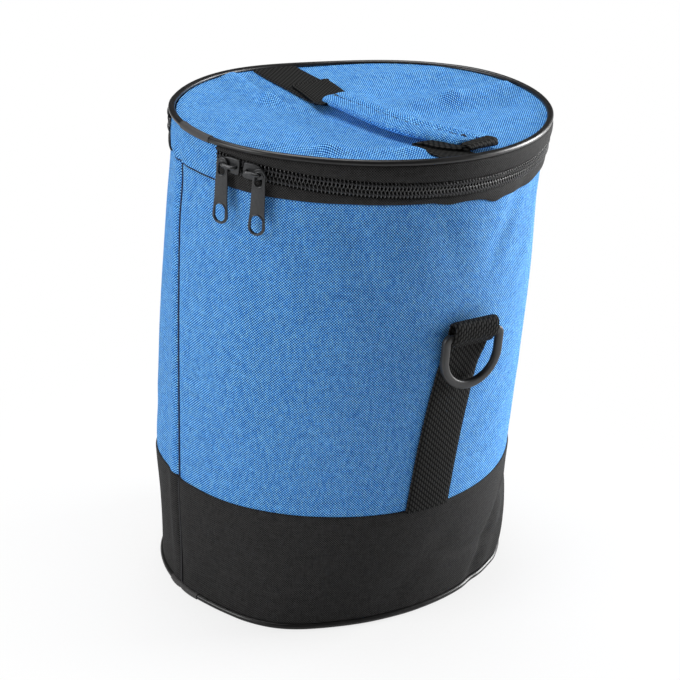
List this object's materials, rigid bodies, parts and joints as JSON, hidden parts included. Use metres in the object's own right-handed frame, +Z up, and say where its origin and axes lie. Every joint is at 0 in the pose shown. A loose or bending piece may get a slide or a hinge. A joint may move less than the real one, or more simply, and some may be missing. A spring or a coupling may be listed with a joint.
{
  "type": "insulated cooler bag",
  "caption": "Oval soft-sided cooler bag with a zipped, fabric-hinged lid, a padded carry handle and a strap with a D-ring on each long side.",
  "frame": {"origin": "centre of the underside, on the surface the bag stands on", "axes": "+Z up; X along the oval, with the lid's fabric hinge at -X; the side with the leaning strap is -Y"},
  "size_m": [0.2314, 0.2088, 0.3065],
  "materials": {
    "blue_fabric": "coarse melange polyester weave, matt",
    "black_fabric": "fine plain polyester weave, matt",
    "black_webbing": "ribbed polypropylene webbing, low sheen",
    "piping": "coated piping cord, slight gloss",
    "zipper_coil": "nylon coil, slight gloss",
    "slider_metal": "dark painted zinc, satin",
    "d_ring_plastic": "moulded plastic, satin",
    "foam": "closed-cell polyethylene foam, matt",
    "liner_foil": "silver-grey coated liner sheet, satin"
  },
  "bodies": {
    "bag": {"body_panel": "blue_fabric", "base_band": "black_fabric", "base_panel": "black_fabric", "base_piping": "piping", "base_piping_splice": "piping", "wall_foam": "foam", "base_foam": "foam", "wall_liner": "liner_foil", "base_liner": "liner_foil", "base_seam_binding": "black_fabric", "wall_seam_binding": "black_fabric", "zipper_tape_lower": "black_fabric", "zipper_coil_lower": "zipper_coil", "hinge_panel": "blue_fabric", "d_ring_strap_near": "black_webbing", "d_ring_strap_far": "black_webbing"},
    "lid": {"lid_panel": "blue_fabric", "lid_foam": "foam", "lid_liner": "liner_foil", "lid_seam_binding": "black_fabric", "lid_piping": "piping", "lid_piping_splice": "piping", "zipper_tape_upper": "black_fabric", "zipper_coil_upper": "zipper_coil", "hinge_flap": "blue_fabric", "handle_web_far": "black_webbing", "handle_web_near": "black_webbing"},
    "handle": {"handle_grip": "blue_fabric", "handle_core": "black_webbing"},
    "slider_a": {"slider_a": "slider_metal", "slider_a_crown": "slider_metal"},
    "pull_a": {"pull_a": "slider_metal"},
    "slider_b": {"slider_b": "slider_metal", "slider_b_crown": "slider_metal"},
    "pull_b": {"pull_b": "slider_metal"},
    "d_ring_near": {"d_ring_near": "d_ring_plastic"},
    "d_ring_far": {"d_ring_far": "d_ring_plastic"}
  },
  "joints": [
    {"name": "lid_hinge", "type": "hinge", "parent": "bag", "child": "lid", "pos_m": [-0.114, 0, 0.2852], "axis": [0, -1, 0], "range_deg": [0, 120]},
    {"name": "handle_lift", "type": "slide", "parent": "lid", "child": "handle", "axis": [0, 0.5, 0.866], "range_m": [0, 0.075]},
    {"name": "slider_a_travel", "type": "hinge", "parent": "bag", "child": "slider_a", "pos_m": [-0.034, 0, 0.2858], "axis": [0.0206, -0.0673, 0.9975], "range_deg": [-1.5, 0.7]},
    {"name": "slider_b_travel", "type": "hinge", "parent": "bag", "child": "slider_b", "pos_m": [0, 0.02813, 0.287], "axis": [0.0206, -0.0673, 0.9975], "range_deg": [0, 104]},
    {"name": "pull_a_swing", "type": "hinge", "parent": "slider_a", "child": "pull_a", "pos_m": [-0.11159, -0.03243, 0.28526], "axis": [0.9033, 0.4289, 0], "range_deg": [0, 60]},
    {"name": "pull_b_swing", "type": "hinge", "parent": "slider_b", "child": "pull_b", "pos_m": [-0.10034, -0.05165, 0.28379], "axis": [-0.8018, -0.5976, 0], "range_deg": [0, 90]},
    {"name": "d_ring_near_swing", "type": "hinge", "parent": "bag", "child": "d_ring_near", "pos_m": [0.0159, -0.1006, 0.19], "axis": [-1, 0, 0], "range_deg": [0, 170]},
    {"name": "d_ring_far_swing", "type": "hinge", "parent": "bag", "child": "d_ring_far", "pos_m": [0, 0.1006, 0.19], "axis": [1, 0, 0], "range_deg": [0, 170]}
  ]
}
